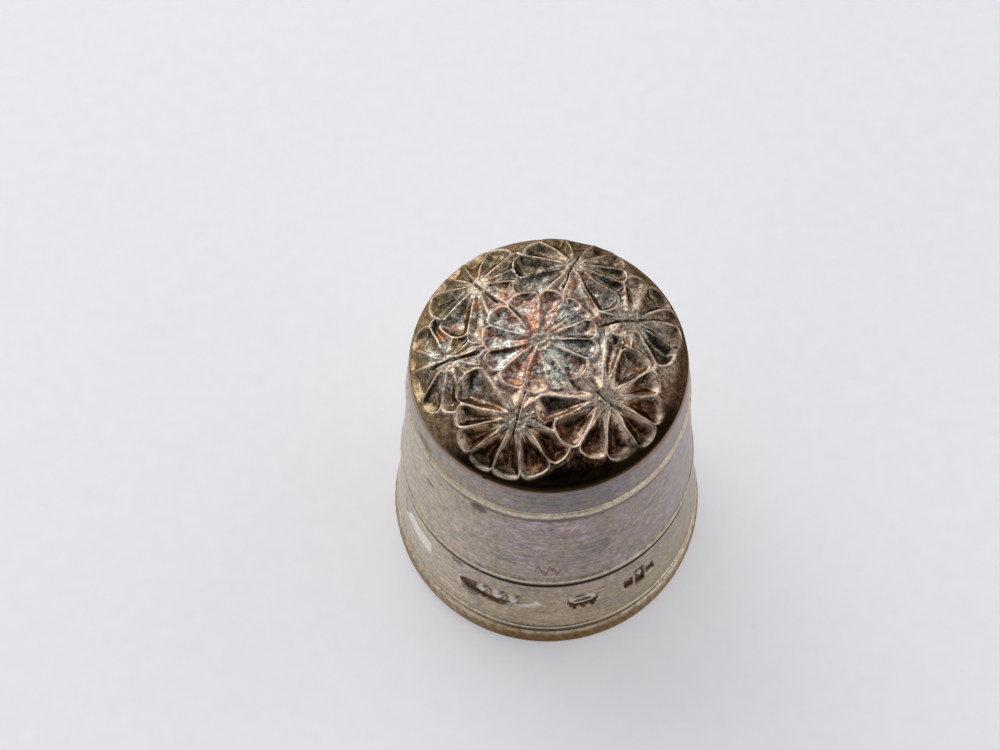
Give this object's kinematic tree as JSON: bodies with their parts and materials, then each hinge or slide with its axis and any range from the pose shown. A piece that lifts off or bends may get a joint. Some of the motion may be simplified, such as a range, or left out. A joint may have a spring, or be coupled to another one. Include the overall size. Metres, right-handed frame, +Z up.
{
  "type": "thimble",
  "caption": "Silver sewing thimble: tapered soldered side band with turned bead rings, heavier half-round rim, and a domed cap struck with daisies.",
  "frame": {"origin": "centre of the mouth, in the plane the rim stands on", "axes": "+Z up the thimble's axis towards the closed cap; -Y towards the side that carries the struck marks, with the soldered side seam to the left of them; +X to their right"},
  "size_m": [0.0176, 0.0176, 0.02],
  "materials": {
    "oxidised_silver": "dark oxidised silver with coloured tarnish, ridges rubbed bright",
    "band_silver": "satin silver with fine turning lines and a lilac grey tarnish",
    "bead_silver": "polished silver, slightly warm",
    "rim_silver": "worn satin silver with a warm golden tarnish",
    "solder_silver": "filed silver solder"
  },
  "bodies": {
    "root": {"cap": "oxidised_silver", "side_band": "band_silver", "side_seam_solder": "solder_silver", "cap_solder_fillet": "solder_silver", "upper_bead_ring": "bead_silver", "middle_bead_ring": "bead_silver", "lower_bead_ring": "bead_silver", "base_rim": "rim_silver"}
  },
  "joints": []
}
